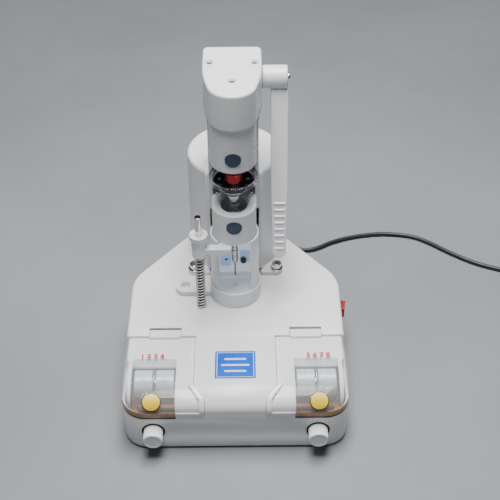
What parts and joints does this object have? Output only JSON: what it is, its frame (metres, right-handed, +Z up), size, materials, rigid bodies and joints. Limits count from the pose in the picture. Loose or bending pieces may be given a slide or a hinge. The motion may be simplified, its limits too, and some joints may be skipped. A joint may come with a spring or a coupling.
{
  "type": "lens drilling machine",
  "caption": "Bench drill for rimless spectacle lenses: wide white base with notching bays under clear covers, open drill column, sliding head with pull lever, rear housing and mains cord.",
  "frame": {"origin": "centre of the bottom of the machine's box, on the bench, without the cord", "axes": "+Z up, -Y towards the operator, +X to the operator's right"},
  "size_m": [0.4988, 0.3296, 0.298],
  "materials": {
    "white_plastic": "smooth semi-gloss moulding",
    "white_enamel": "white enamel on metal",
    "clear_plastic": "clear acrylic",
    "navy_plastic": "dark blue grained plastic",
    "steel": "ground steel",
    "chrome": "bright plated",
    "aluminium": "milled",
    "nylon": "pale nylon",
    "brown_tray": "brown, slightly shiny",
    "red_plastic": "glossy red",
    "black_plastic": "fine matt",
    "black_rubber": "matt rubber",
    "collet_steel": "turned, slightly warm tone"
  },
  "bodies": {
    "base": {"base_shell": "white_plastic", "bottom_plate": "white_plastic", "foot_front_left": "black_rubber", "foot_front_right": "black_rubber", "foot_back_left": "black_rubber", "foot_back_right": "black_rubber", "bay_frame_left": "white_plastic", "bay_frame_right": "white_plastic", "chip_tray_left": "brown_tray", "chip_tray_right": "brown_tray", "notch_motor_left": "steel", "notch_motor_right": "steel", "switch_body": "black_plastic", "work_collar": "white_enamel", "work_pad": "nylon", "drill_column": "white_enamel", "column_panel": "white_plastic", "panel_knob": "navy_plastic", "rear_housing": "white_plastic", "housing_bolt_left": "chrome", "housing_bolt_right": "chrome", "transformer": "steel", "slide_base": "aluminium", "guide_rod_left": "steel", "guide_rod_right": "steel", "rack_post": "steel", "stop_rod": "chrome", "return_spring": "chrome", "strain_relief": "black_rubber", "cord": "black_rubber", "cord_coil": "black_rubber", "plug": "black_plastic"},
    "carriage": {"head_frame": "white_enamel", "head_cover": "white_plastic", "head_cap": "white_plastic", "back_cover": "white_plastic", "upper_plug": "navy_plastic", "lower_plug": "navy_plastic", "drill_motor": "steel", "motor_plate": "black_plastic", "bearing_sleeve": "steel", "guard_ring": "clear_plastic", "stop_bracket": "white_plastic"},
    "spindle": {"spindle_shaft": "steel", "shaft_coupling": "red_plastic", "collet": "collet_steel", "drill_bit": "steel"},
    "lever": {"lever": "white_plastic", "pinion_shaft": "steel", "lever_screw": "chrome"},
    "stop_nut": {"stop_nut": "white_plastic"},
    "cover_left": {"bay_cover_left": "clear_plastic"},
    "cover_right": {"bay_cover_right": "clear_plastic"},
    "notcher_left": {"guide_rollers_left": "nylon", "notch_disc_left": "steel"},
    "notcher_right": {"guide_rollers_right": "nylon", "notch_disc_right": "steel"},
    "knob_left": {"front_knob_left": "white_plastic"},
    "knob_right": {"front_knob_right": "white_plastic"},
    "rocker": {"switch_rocker": "red_plastic"}
  },
  "joints": [
    {"name": "head_slide", "type": "slide", "parent": "base", "child": "carriage", "axis": [0, 0, -1], "range_m": [0, 0.014], "stiffness_N_per_m": 500, "springref_m": -0.04, "deforming": ["return_spring"]},
    {"name": "lever_turn", "type": "hinge", "parent": "carriage", "child": "lever", "pos_m": [-0.0036, 0.06325, 0.2764], "axis": [-1, 0, 0], "range_deg": [0, 66.9]},
    {"name": "spindle_spin", "type": "hinge", "parent": "carriage", "child": "spindle", "pos_m": [-0.0036, 0.01875, 0.137], "axis": [0, 0, 1], "continuous": true},
    {"name": "stop_nut_slide", "type": "slide", "parent": "base", "child": "stop_nut", "axis": [0, 0, 1], "range_m": [0, 0.014]},
    {"name": "cover_left_hinge", "type": "hinge", "parent": "base", "child": "cover_left", "pos_m": [-0.0694, -0.03575, 0.06], "axis": [-1, 0, 0], "range_deg": [0, 100]},
    {"name": "notch_spin_left", "type": "hinge", "parent": "base", "child": "notcher_left", "pos_m": [-0.0756, -0.08775, 0.045], "axis": [1, 0, 0], "continuous": true},
    {"name": "knob_left_turn", "type": "hinge", "parent": "base", "child": "knob_left", "pos_m": [-0.0776, -0.12575, 0.0237], "axis": [0, -1, 0], "range_deg": [-150, 150]},
    {"name": "cover_right_hinge", "type": "hinge", "parent": "base", "child": "cover_right", "pos_m": [0.0622, -0.03575, 0.06], "axis": [-1, 0, 0], "range_deg": [0, 100]},
    {"name": "notch_spin_right", "type": "hinge", "parent": "base", "child": "notcher_right", "pos_m": [0.0684, -0.08775, 0.045], "axis": [1, 0, 0], "continuous": true},
    {"name": "knob_right_turn", "type": "hinge", "parent": "base", "child": "knob_right", "pos_m": [0.0704, -0.12575, 0.0237], "axis": [0, -1, 0], "range_deg": [-150, 150]},
    {"name": "rocker_tilt", "type": "hinge", "parent": "base", "child": "rocker", "pos_m": [0.0994, 0.01555, 0.0395], "axis": [0, 0, 1], "range_deg": [0, 15.6]}
  ],
  "couplings": [
    {"joint": "lever_turn", "follows": "head_slide", "rad_per_m": 83.333}
  ]
}
